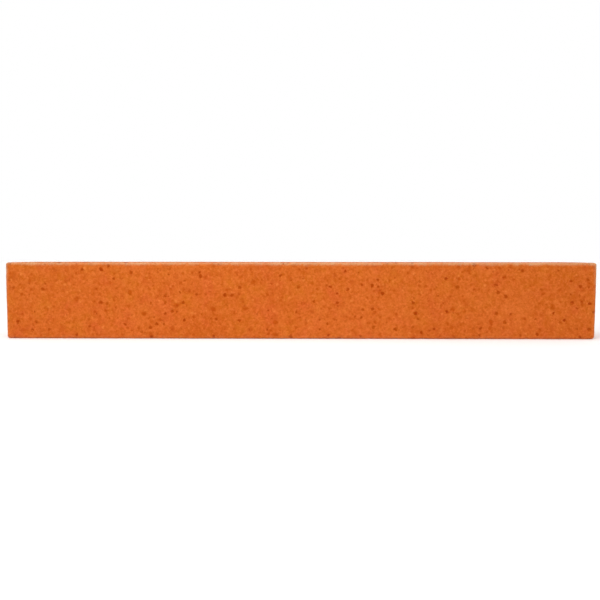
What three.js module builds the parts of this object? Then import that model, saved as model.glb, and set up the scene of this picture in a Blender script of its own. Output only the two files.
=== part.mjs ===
// A square honing stick: one solid bar of fired abrasive, which is held in the hand or clamped
// in a holder, and sharpens an edge that is drawn along any of its four long faces.
// Millimetres, +Z up. The bar lies along X, and the origin is at the middle of its underside.

import * as THREE from 'three';
import { RoundedBoxGeometry } from 'three/addons/geometries/RoundedBoxGeometry.js';

// Driving dimensions
const LENGTH = 100; // along X
const SECTION = 13; // the bar is square, so this is both its depth along Y and its height along Z
const EDGE_RADIUS = 0.45; // the twelve edges are broken slightly, so that they don't scratch or chip
const EDGE_FACETS = 4; // flat strips across the quarter round of one edge

// The fired abrasive: a matt orange body
const BODY_COLOUR = 0xd56827;
const BODY_ROUGHNESS = 0.88;

function firedAbrasive() {
  return new THREE.MeshStandardMaterial({
    color: BODY_COLOUR,
    roughness: BODY_ROUGHNESS,
    metalness: 0,
  });
}

// The whole bar is pressed and fired as one piece: six flat faces and rounded edges between them
function honingStick() {
  const bar = new RoundedBoxGeometry(LENGTH, SECTION, SECTION, EDGE_FACETS, EDGE_RADIUS);
  const stick = new THREE.Mesh(bar, firedAbrasive());
  stick.name = 'honing_stick';
  stick.position.z = SECTION / 2;
  return stick;
}

const group = new THREE.Group();
group.add(honingStick());

export default group;
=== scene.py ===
import math

import bpy
from mathutils import Euler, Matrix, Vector

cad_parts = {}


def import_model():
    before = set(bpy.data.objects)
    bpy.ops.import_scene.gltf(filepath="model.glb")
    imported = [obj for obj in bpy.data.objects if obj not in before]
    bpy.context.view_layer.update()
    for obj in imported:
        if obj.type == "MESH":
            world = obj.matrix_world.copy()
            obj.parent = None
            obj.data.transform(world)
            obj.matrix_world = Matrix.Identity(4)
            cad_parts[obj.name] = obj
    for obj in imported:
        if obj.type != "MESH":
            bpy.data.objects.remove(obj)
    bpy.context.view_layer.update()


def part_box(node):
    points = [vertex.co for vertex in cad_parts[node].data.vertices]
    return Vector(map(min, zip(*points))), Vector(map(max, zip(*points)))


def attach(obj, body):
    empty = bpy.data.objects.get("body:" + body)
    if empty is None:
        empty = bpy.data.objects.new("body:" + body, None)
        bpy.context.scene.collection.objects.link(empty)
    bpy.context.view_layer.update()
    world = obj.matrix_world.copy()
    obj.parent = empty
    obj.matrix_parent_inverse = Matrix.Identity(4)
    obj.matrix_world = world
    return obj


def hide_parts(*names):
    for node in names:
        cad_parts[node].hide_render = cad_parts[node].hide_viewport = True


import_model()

MM = 0.001
NODE = "honing_stick"
SLOT = "fired_abrasive"
BODY = "root"
PIECE = "honing_stick_body"

LOW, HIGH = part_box(NODE)
SIZE = HIGH - LOW
CENTRE = (LOW + HIGH) / 2
LENGTH = SIZE.x

# The bar's mesh
EDGE_RADIUS = 0.45 * MM
EDGE_STEPS = 5  # grid steps from the start of a rounded edge to its middle
GRID_STEP = 0.26 * MM  # on the flat faces

# How deep the surface is pressed in, in millimetres
UNEVEN_DEPTH = 0.025
GRAIN_DEPTH = 0.02
PORE_DEPTH = 0.10
WEAR_DEPTH = 0.05
NICK_DEPTH = 0.16
EDGE_REACH = 1.0  # how far from an edge it is worn and nicked at all
EDGE_FULL = 0.2  # and how near the edge this is at its full depth

# Colours of the fired body, linear
ORANGE = (0.596, 0.130, 0.0155, 1.0)
GOLDEN_ORANGE = (0.594, 0.151, 0.0138, 1.0)
PINK_ORANGE = (0.602, 0.113, 0.0200, 1.0)
PALE_ORANGE = (0.726, 0.190, 0.0385, 1.0)
DEEP_ORANGE = (0.466, 0.082, 0.0015, 1.0)
DARK_GRAIN = (0.330, 0.010, 0.0002, 1.0)
BURNT_GRAIN = (0.250, 0.001, 0.0001, 1.0)
LIGHT_GRAIN = (0.799, 0.266, 0.0579, 1.0)
# Pale edge colour: real wear, and on the upper edges mostly a painted highlight of light from above
WORN_AND_SHEEN_EDGE = (0.700, 0.470, 0.2550, 1.0)
IRON_STAIN = (1.0, 1.0, 0.1, 1.0)  # what multiplies the colour of the body at a dark grain

# Widths of the body's patterns, in millimetres
DRIFT_PATCH = 12.0
HUE_PATCH = 3.5
MOTTLE_PATCH = 1.1
FINE_PATCH = 0.42
COARSE_GRIT = 0.28
SAND_GRIT = 0.10
BUMP_GRIT = 0.16

# The body is a little deeper in colour towards the +X end: from where, up to where and how much
DEEPER_START = 4.0
DEEPER_END = 24.0
DEEPER_SHARE = 0.13

# Grains scattered through the body. Lengths are millimetres. Each outline is pushed about by up to
# reach, in lumps of the width lump. shift keeps one kind's places apart from another's.
PORES = {"spacing": 1.4, "radius": 0.345, "softness": 0.10, "reach": 0.24, "lump": 0.45}
BURIED_GRAINS = {
    "spacing": 1.3, "radius": 0.5, "softness": 0.2, "reach": 0.34, "lump": 0.6,
    "share": 0.7, "shift": 17.0,
}
SMALL_GRAINS = {
    "spacing": 0.95, "radius": 0.28, "softness": 0.13, "reach": 0.2, "lump": 0.35,
    "share": 0.7, "shift": 31.0,
}
PALE_GRAINS = {
    "spacing": 0.9, "radius": 0.24, "softness": 0.1, "reach": 0.15, "lump": 0.4,
    "share": 0.6, "shift": 47.0,
}

# The smallest and the faintest grain of a kind, as shares of its largest and its strongest
LEAST_SIZE = 0.4
LEAST_STRENGTH = 0.25

# How strongly each kind of grain colours the body, and from what strength on a stain is full
BURIED_STRENGTH = 0.40
PALE_STRENGTH = 0.38
SMALL_STRENGTH = 0.42
PORE_STRENGTH = 0.95
FULL_STAIN = 0.65

# Pale edge band, partly worn edges and along the upper edges mostly painted highlight: the band's
# width, how far it takes to fade out and how ragged the grain makes it, all in millimetres, and how
# pale it is half way up the bar and at its top
WEAR_AND_SHEEN_NARROWEST = 0.26
WEAR_AND_SHEEN_WIDEST = 0.43
WEAR_AND_SHEEN_FADE = 0.72
WEAR_AND_SHEEN_RAGGED_FINE = 0.5
WEAR_AND_SHEEN_RAGGED_SAND = 0.3
WEAR_AT_MIDDLE_HEIGHT = 0.12
WEAR_AND_SHEEN_AT_TOP = 0.68

# The finish: matt and finely gritty
ROUGHEST = 0.85
SMOOTHEST = 0.62
REFRACTIVE_INDEX = 1.5
SPECULAR_LEVEL = 0.05
DIFFUSE_ROUGHNESS = 0.5
BUMP_STRENGTH = 0.8
BUMP_DEPTH = 0.05 * MM
BUMP_SAND = 0.35  # the sand's height and the pores' depth in the bump, beside the grit's 1
BUMP_PORES = 1.2


# ---------------------------------------------------------------- nodes


class Web:
    """Short calls that add nodes to one tree, so that a pattern reads like a formula.
    Lengths in a pattern are millimetres."""

    def __init__(self, tree):
        self.tree = tree

    def node(self, kind, **settings):
        made = self.tree.nodes.new(kind)
        for name, value in settings.items():
            setattr(made, name, value)
        return made

    def feed(self, socket, value):
        """value is an output to link from, or what the socket is set to."""
        if isinstance(value, bpy.types.NodeSocket):
            self.tree.links.new(value, socket)
        else:
            socket.default_value = value

    def maths(self, operation, *values):
        made = self.node("ShaderNodeMath", operation=operation)
        for socket, value in zip(made.inputs, values):
            self.feed(socket, value)
        return made.outputs[0]

    def vector_maths(self, operation, *values):
        made = self.node("ShaderNodeVectorMath", operation=operation)
        for socket, value in zip(made.inputs, values):
            self.feed(socket, value)
        return made.outputs[0]

    def scaled(self, vector, factor):
        made = self.node("ShaderNodeVectorMath", operation="SCALE")
        self.feed(made.inputs[0], vector)
        self.feed(made.inputs["Scale"], factor)
        return made.outputs[0]

    def split(self, vector):
        made = self.node("ShaderNodeSeparateXYZ")
        self.feed(made.inputs[0], vector)
        return made.outputs["X"], made.outputs["Y"], made.outputs["Z"]

    def ramp(self, value, start, end, low=0.0, high=1.0):
        """low up to start, high from end on, and a smooth change between them. Where end is the
        smaller of the two, it runs the other way."""
        made = self.node("ShaderNodeMapRange", interpolation_type="SMOOTHSTEP")
        self.feed(made.inputs["Value"], value)
        self.feed(made.inputs["From Min"], start)
        self.feed(made.inputs["From Max"], end)
        self.feed(made.inputs["To Min"], low)
        self.feed(made.inputs["To Max"], high)
        return made.outputs["Result"]

    def noise(self, place, grain, detail=2.0, roughness=0.5):
        """Soft noise about 0.5 whose lumps are about grain wide, and the same in three colours."""
        made = self.node("ShaderNodeTexNoise", noise_dimensions="3D")
        self.feed(made.inputs["Vector"], place)
        self.feed(made.inputs["Scale"], 1.0 / grain)
        self.feed(made.inputs["Detail"], detail)
        self.feed(made.inputs["Roughness"], roughness)
        return made.outputs[0], made.outputs["Color"]

    def cells(self, place, spacing):
        """Distance to the nearest of a set of random points, and three random numbers for it."""
        made = self.node("ShaderNodeTexVoronoi", voronoi_dimensions="3D", feature="F1")
        self.feed(made.inputs["Vector"], place)
        self.feed(made.inputs["Scale"], 1.0 / spacing)
        distance = self.maths("MULTIPLY", made.outputs["Distance"], spacing)
        return distance, self.split(made.outputs["Color"])

    def blend(self, factor, first, second, how="MIX"):
        made = self.node("ShaderNodeMix", data_type="RGBA", blend_type=how)
        sockets = {s.identifier: s for s in made.inputs}
        self.feed(sockets["Factor_Float"], factor)
        self.feed(sockets["A_Color"], first)
        self.feed(sockets["B_Color"], second)
        return next(s for s in made.outputs if s.identifier == "Result_Color")


# ---------------------------------------------------------------- patterns of the fired body


def warped(web, place, reach, lump):
    """place, pushed about by up to reach, so that round grains come out uneven."""
    push = web.noise(place, lump, detail=1.0)[1]
    centred = web.vector_maths("SUBTRACT", push, (0.5, 0.5, 0.5))
    return web.vector_maths("ADD", place, web.scaled(centred, 2.0 * reach))


def grains(web, place, spacing, radius, share, softness, reach, lump, shift=0.0):
    """Round grains scattered through the body, as a surface cuts them: 1 inside, 0 outside.
    share is how many of the random points carry a grain. Each has its own size and strength."""
    uneven = warped(web, place, reach, lump)
    moved = web.vector_maths("ADD", uneven, (shift, shift, shift))
    distance, (size, strength, present) = web.cells(moved, spacing)
    own_size = web.maths("MULTIPLY_ADD", size, 1 - LEAST_SIZE, LEAST_SIZE)
    own_strength = web.maths("MULTIPLY_ADD", strength, 1 - LEAST_STRENGTH, LEAST_STRENGTH)
    own_radius = web.maths("MULTIPLY", radius, own_size)
    inside = web.ramp(web.maths("SUBTRACT", own_radius, distance), -softness, softness)
    carried = web.maths("LESS_THAN", present, share)
    return web.maths("MULTIPLY", web.maths("MULTIPLY", inside, carried), own_strength)


def open_pores(web, place):
    """The strongest dark spots: burnt-out grains that left a small open hollow. They are more
    crowded in some patches than in others."""
    patches = web.noise(place, grain=7.0, detail=1.0)[0]
    crowding = web.ramp(patches, 0.35, 0.65, low=0.45, high=0.9)
    return grains(web, place, share=crowding, **PORES)


def edge_distance(web, place):
    """Distance to the nearest edge of the bar: the middle one of the distances to its three pairs
    of faces."""
    from_centre = web.vector_maths("SUBTRACT", place, tuple(CENTRE / MM))
    across = web.vector_maths("ABSOLUTE", from_centre)
    x, y, z = web.split(web.vector_maths("SUBTRACT", tuple(SIZE / 2 / MM), across))
    lowest = web.maths("MINIMUM", x, web.maths("MINIMUM", y, z))
    highest = web.maths("MAXIMUM", x, web.maths("MAXIMUM", y, z))
    total = web.maths("ADD", x, web.maths("ADD", y, z))
    return web.maths("SUBTRACT", web.maths("SUBTRACT", total, lowest), highest)


# ---------------------------------------------------------------- material


def tinted(web, colour, pattern, spread, below, above, low=DEEP_ORANGE, high=PALE_ORANGE):
    """colour, taken towards low where the pattern is under a half and towards high where it is
    over. below and above are how far, and are reached when the pattern is spread from a half."""
    colour = web.blend(web.ramp(pattern, 0.5, 0.5 - spread, 0.0, below), colour, low)
    return web.blend(web.ramp(pattern, 0.5, 0.5 + spread, 0.0, above), colour, high)


def body_colour(web, place, fine, coarse, sand):
    """Orange that drifts in hue from patch to patch, a little deeper towards the +X end, and is
    mottled down to single grit cells."""
    drift = web.noise(place, DRIFT_PATCH, detail=1.0)[0]
    hue = web.noise(place, HUE_PATCH, detail=3.0, roughness=0.6)[0]
    blotched = warped(web, place, reach=0.2, lump=1.0)
    mottle = web.noise(blotched, MOTTLE_PATCH, detail=2.0, roughness=0.6)[0]
    along = web.split(place)[0]
    deeper = web.ramp(along, DEEPER_START, DEEPER_END, 0.0, DEEPER_SHARE)

    colour = tinted(
        web, ORANGE, hue, spread=0.2, below=1.0, above=1.0, low=GOLDEN_ORANGE, high=PINK_ORANGE
    )
    colour = tinted(web, colour, drift, spread=0.3, below=0.35, above=0.35)
    colour = web.blend(deeper, colour, DEEP_ORANGE)
    colour = tinted(web, colour, mottle, spread=0.25, below=0.4, above=0.3)
    colour = tinted(web, colour, fine, spread=0.3, below=0.7, above=0.7)
    colour = tinted(web, colour, coarse, spread=0.5, below=0.38, above=0.38)
    return tinted(web, colour, sand, spread=0.5, below=0.2, above=0.2)


def edge_wear_and_sheen(web, place, fine, sand):
    """How far the surface is paled along the edges, ragged: a little all round as real wear, and
    most of all on the upper edges, where the extra paleness is a painted highlight of light from
    above."""
    wander = web.noise(place, grain=1.8, detail=3.0, roughness=0.6)[0]
    width = web.ramp(wander, 0.3, 0.7, WEAR_AND_SHEEN_NARROWEST, WEAR_AND_SHEEN_WIDEST)
    inward = web.maths("SUBTRACT", edge_distance(web, place), width)
    sandy = web.maths("MULTIPLY_ADD", sand, WEAR_AND_SHEEN_RAGGED_SAND, inward)
    ragged = web.maths("MULTIPLY_ADD", fine, WEAR_AND_SHEEN_RAGGED_FINE, sandy)
    near = web.ramp(ragged, WEAR_AND_SHEEN_FADE, 0.0)
    height = web.split(place)[2]
    # Paler towards the top edges: painted highlight of light from above, over a little real wear
    # all round
    upper = web.ramp(height, CENTRE.z / MM, HIGH.z / MM, WEAR_AT_MIDDLE_HEIGHT, WEAR_AND_SHEEN_AT_TOP)
    patches = web.noise(place, grain=6.0, detail=1.0)[0]
    patchy = web.ramp(patches, 0.3, 0.7, low=0.82, high=1.08)
    return web.maths("MULTIPLY", near, web.maths("MULTIPLY", upper, patchy))


def fired_abrasive():
    """The bar's one material."""
    material = bpy.data.materials.new(SLOT)
    material.use_nodes = True
    tree = material.node_tree
    web = Web(tree)
    shader = tree.nodes["Principled BSDF"]
    coordinates = web.node("ShaderNodeTexCoord")
    place = web.scaled(coordinates.outputs["Object"], 1.0 / MM)

    fine = web.noise(place, FINE_PATCH, detail=2.0, roughness=0.65)[0]
    coarse, sand = (web.cells(place, width)[1][0] for width in (COARSE_GRIT, SAND_GRIT))
    pores = open_pores(web, place)
    burnt = web.maths("MULTIPLY", pores, PORE_STRENGTH)
    buried = web.maths("MULTIPLY", grains(web, place, **BURIED_GRAINS), BURIED_STRENGTH)
    small = web.maths("MULTIPLY", grains(web, place, **SMALL_GRAINS), SMALL_STRENGTH)
    pale = web.maths("MULTIPLY", grains(web, place, **PALE_GRAINS), PALE_STRENGTH)
    darkest = web.maths("MAXIMUM", burnt, web.maths("MAXIMUM", buried, small))
    stain = web.ramp(darkest, 0.0, FULL_STAIN)
    # Pale edge band: partly real wear, and on the upper edges mostly painted highlight
    wear = edge_wear_and_sheen(web, place, fine, sand)

    colour = body_colour(web, place, fine, coarse, sand)
    colour = web.blend(stain, colour, IRON_STAIN, "MULTIPLY")
    colour = web.blend(buried, colour, DARK_GRAIN)
    colour = web.blend(pale, colour, LIGHT_GRAIN)
    colour = web.blend(small, colour, DARK_GRAIN)
    colour = web.blend(burnt, colour, BURNT_GRAIN)
    # Painted highlight and wear: the pale band along the edges, strongest along the top
    colour = web.blend(wear, colour, WORN_AND_SHEEN_EDGE)
    web.feed(shader.inputs["Base Color"], colour)

    web.feed(shader.inputs["Roughness"], web.ramp(fine, 0.2, 0.8, ROUGHEST, SMOOTHEST))
    shader.inputs["IOR"].default_value = REFRACTIVE_INDEX
    shader.inputs["Specular IOR Level"].default_value = SPECULAR_LEVEL
    shader.inputs["Diffuse Roughness"].default_value = DIFFUSE_ROUGHNESS

    grit = web.noise(place, BUMP_GRIT, detail=2.0, roughness=0.6)[0]
    sandy = web.maths("MULTIPLY_ADD", sand, BUMP_SAND, grit)
    height = web.maths("MULTIPLY_ADD", pores, -BUMP_PORES, sandy)
    bump = web.node("ShaderNodeBump")
    bump.inputs["Strength"].default_value = BUMP_STRENGTH
    bump.inputs["Distance"].default_value = BUMP_DEPTH
    web.feed(bump.inputs["Height"], height)
    web.feed(shader.inputs["Normal"], bump.outputs["Normal"])
    return material


# ---------------------------------------------------------------- mesh


def grid_stops(length):
    """Places across one side of the bar, about its middle. Steps near the ends are spaced so that
    they turn by equal angles once the edge is rounded."""
    flat = length / 2 - EDGE_RADIUS
    count = round(2 * flat / GRID_STEP)
    middle = [-flat + 2 * flat * i / count for i in range(count + 1)]
    turn = math.radians(45) / EDGE_STEPS
    outer = [flat + EDGE_RADIUS * math.tan(turn * i) for i in range(1, EDGE_STEPS + 1)]
    return [-stop for stop in reversed(outer)] + middle + outer


def rounded(point):
    """A point on the square-edged box, moved to where the rounded box has it."""
    inner = Vector(
        max(-(side / 2 - EDGE_RADIUS), min(side / 2 - EDGE_RADIUS, value))
        for side, value in zip(SIZE, point)
    )
    return inner + (point - inner).normalized() * EDGE_RADIUS


def bar_mesh():
    """Six finely gridded faces that share their border points, wrapped round the rounded box."""
    stops = [grid_stops(side) for side in SIZE]
    last = [len(places) - 1 for places in stops]
    points = []
    number = {}

    def corner(index):
        if index not in number:
            number[index] = len(points)
            point = Vector(stops[axis][index[axis]] for axis in range(3))
            points.append(CENTRE + rounded(point))
        return number[index]

    faces = []
    for axis in range(3):
        along, up = (axis + 1) % 3, (axis + 2) % 3
        for end in (0, last[axis]):
            for i in range(last[along]):
                for j in range(last[up]):
                    ring = []
                    for di, dj in ((0, 0), (1, 0), (1, 1), (0, 1)):
                        index = [0, 0, 0]
                        index[axis] = end
                        index[along] = i + di
                        index[up] = j + dj
                        ring.append(corner(tuple(index)))
                    faces.append(ring if end else ring[::-1])
    mesh = bpy.data.meshes.new(PIECE)
    mesh.from_pydata(points, [], faces)
    mesh.shade_smooth()
    return mesh


def surface_relief():
    """Geometry nodes that press the surface inward: uneven faces, coarse grain, open pores and
    worn, nicked edges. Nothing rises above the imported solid."""
    tree = bpy.data.node_groups.new("surface_relief", "GeometryNodeTree")
    tree.interface.new_socket("Geometry", in_out="INPUT", socket_type="NodeSocketGeometry")
    tree.interface.new_socket("Geometry", in_out="OUTPUT", socket_type="NodeSocketGeometry")
    web = Web(tree)
    start = web.node("NodeGroupInput")
    end = web.node("NodeGroupOutput")
    place = web.scaled(web.node("GeometryNodeInputPosition").outputs[0], 1.0 / MM)
    normal = web.node("GeometryNodeInputNormal").outputs["Normal"]

    swells = web.noise(place, grain=18.0, detail=1.0)[0]
    uneven = web.ramp(swells, 0.2, 0.8, high=UNEVEN_DEPTH)
    lumps = web.noise(place, grain=0.7, detail=1.0)[0]
    grain = web.ramp(lumps, 0.2, 0.8, high=GRAIN_DEPTH)
    pores = web.maths("MULTIPLY", open_pores(web, place), PORE_DEPTH)

    near = web.ramp(edge_distance(web, place), EDGE_REACH, EDGE_FULL)
    rubbed = web.noise(place, grain=2.2, detail=2.0)[0]
    wear = web.ramp(rubbed, 0.45, 0.8, high=WEAR_DEPTH)
    knocked = web.noise(place, grain=0.9, detail=1.0)[0]
    nicks = web.ramp(knocked, 0.70, 0.80, high=NICK_DEPTH)
    at_edges = web.maths("MULTIPLY", near, web.maths("ADD", wear, nicks))

    depth = web.maths("ADD", web.maths("ADD", uneven, grain), web.maths("ADD", pores, at_edges))
    inward = web.scaled(normal, web.maths("MULTIPLY", depth, -MM))
    push = web.node("GeometryNodeSetPosition")
    web.feed(push.inputs["Geometry"], start.outputs[0])
    web.feed(push.inputs["Offset"], inward)
    web.feed(end.inputs[0], push.outputs["Geometry"])
    return tree


def honing_stick():
    """The bar, its relief applied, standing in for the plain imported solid."""
    draft = bpy.data.objects.new("draft", bar_mesh())
    bpy.context.scene.collection.objects.link(draft)
    relief = draft.modifiers.new("relief", "NODES")
    relief.node_group = surface_relief()
    evaluated = draft.evaluated_get(bpy.context.evaluated_depsgraph_get())
    mesh = bpy.data.meshes.new_from_object(evaluated)
    bpy.data.objects.remove(draft)
    mesh.name = PIECE
    mesh.materials.append(fired_abrasive())
    piece = bpy.data.objects.new(PIECE, mesh)
    bpy.context.scene.collection.objects.link(piece)
    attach(piece, BODY)
    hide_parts(NODE)


# ---------------------------------------------------------------- studio

FLOOR_COLOUR = (0.98, 0.98, 0.98, 1.0)
FLOOR_ROUGHNESS = 0.9
FLOOR_HALF = 30 * LENGTH

# The white world is brighter low down. Heights are those of a direction: 0 is level, 1 straight up.
WORLD_COLOUR = (1.0, 1.0, 1.0, 1.0)
HORIZON_STRENGTH = 1.0
OVERHEAD_STRENGTH = 0.35
HORIZON_TOP = 0.38
OVERHEAD_START = 0.7

SUN_STRENGTH = 1.55
SUN_HEIGHT = math.radians(78)
SUN_ASIDE = math.radians(-30)  # from straight in front, negative to the left
SUN_SPREAD = math.radians(50)

KEY_PLACE = (-0.22 * LENGTH, -0.85 * LENGTH, 0.8 * LENGTH)
KEY_SIDE = 0.3 * LENGTH
KEY_POWER = 0.034  # watts

# The camera is close in front of the bar, just above the level of its top, and looks a little down
CAMERA_DISTANCE = 1.08 * LENGTH  # from the front face
CAMERA_ASIDE = 0.0094 * LENGTH
CAMERA_RISE = 0.008 * LENGTH  # above the top face
CAMERA_YAW = math.radians(0.493)
CAMERA_TILT = math.radians(3.795)
CAMERA_ROLL = math.radians(-0.047)
CAMERA_VIEW = math.radians(50.24)
CAMERA_NEAREST = 0.01 * LENGTH  # nothing nearer than this is seen


def floor():
    """A plain white floor, level with the bar's underside."""
    mesh = bpy.data.meshes.new("studio_floor")
    corners = [(-1, -1), (1, -1), (1, 1), (-1, 1)]
    mesh.from_pydata([(x * FLOOR_HALF, y * FLOOR_HALF, LOW.z) for x, y in corners], [], [range(4)])
    material = bpy.data.materials.new("studio_floor")
    material.use_nodes = True
    shader = material.node_tree.nodes["Principled BSDF"]
    shader.inputs["Base Color"].default_value = FLOOR_COLOUR
    shader.inputs["Roughness"].default_value = FLOOR_ROUGHNESS
    mesh.materials.append(material)
    made = bpy.data.objects.new("studio_floor", mesh)
    bpy.context.scene.collection.objects.link(made)


def world():
    """A white studio all round, dimmer overhead."""
    made = bpy.data.worlds.new("studio")
    made.use_nodes = True
    web = Web(made.node_tree)
    background = made.node_tree.nodes["Background"]
    direction = web.node("ShaderNodeTexCoord").outputs["Generated"]
    height = web.split(direction)[2]
    strength = web.ramp(
        height, HORIZON_TOP, OVERHEAD_START, HORIZON_STRENGTH, OVERHEAD_STRENGTH
    )
    background.inputs["Color"].default_value = WORLD_COLOUR
    web.feed(background.inputs["Strength"], strength)
    bpy.context.scene.world = made


def overhead_light():
    """A wide, soft light from high in front, a little to the left. It lights all of the floor."""
    lamp = bpy.data.lights.new("overhead", "SUN")
    lamp.energy = SUN_STRENGTH
    lamp.angle = SUN_SPREAD
    made = bpy.data.objects.new("overhead", lamp)
    made.rotation_euler = Euler((math.pi / 2 - SUN_HEIGHT, 0, SUN_ASIDE), "XYZ")
    bpy.context.scene.collection.objects.link(made)


def key_light():
    """A square lamp in front, up and to the left, which faces the middle of the bar."""
    lamp = bpy.data.lights.new("key", "AREA")
    lamp.shape = "SQUARE"
    lamp.size = KEY_SIDE
    lamp.energy = KEY_POWER
    made = bpy.data.objects.new("key", lamp)
    made.visible_camera = False
    made.location = KEY_PLACE
    made.rotation_euler = (CENTRE - Vector(KEY_PLACE)).to_track_quat("-Z", "Y").to_euler()
    bpy.context.scene.collection.objects.link(made)


def camera():
    lens = bpy.data.cameras.new("camera")
    lens.lens_unit = "FOV"
    lens.angle = CAMERA_VIEW
    lens.clip_start = CAMERA_NEAREST
    made = bpy.data.objects.new("camera", lens)
    made.location = (CAMERA_ASIDE, LOW.y - CAMERA_DISTANCE, HIGH.z + CAMERA_RISE)
    made.rotation_euler = Euler((math.pi / 2 - CAMERA_TILT, CAMERA_ROLL, CAMERA_YAW), "XYZ")
    bpy.context.scene.collection.objects.link(made)
    bpy.context.scene.camera = made


honing_stick()
floor()
world()
overhead_light()
key_light()
camera()
bpy.context.scene.view_settings.view_transform = "Standard"
# Colours baked to a texture run on past the edge of each patch, so that no dark line shows there
bpy.context.scene.render.bake.margin_type = "EXTEND"
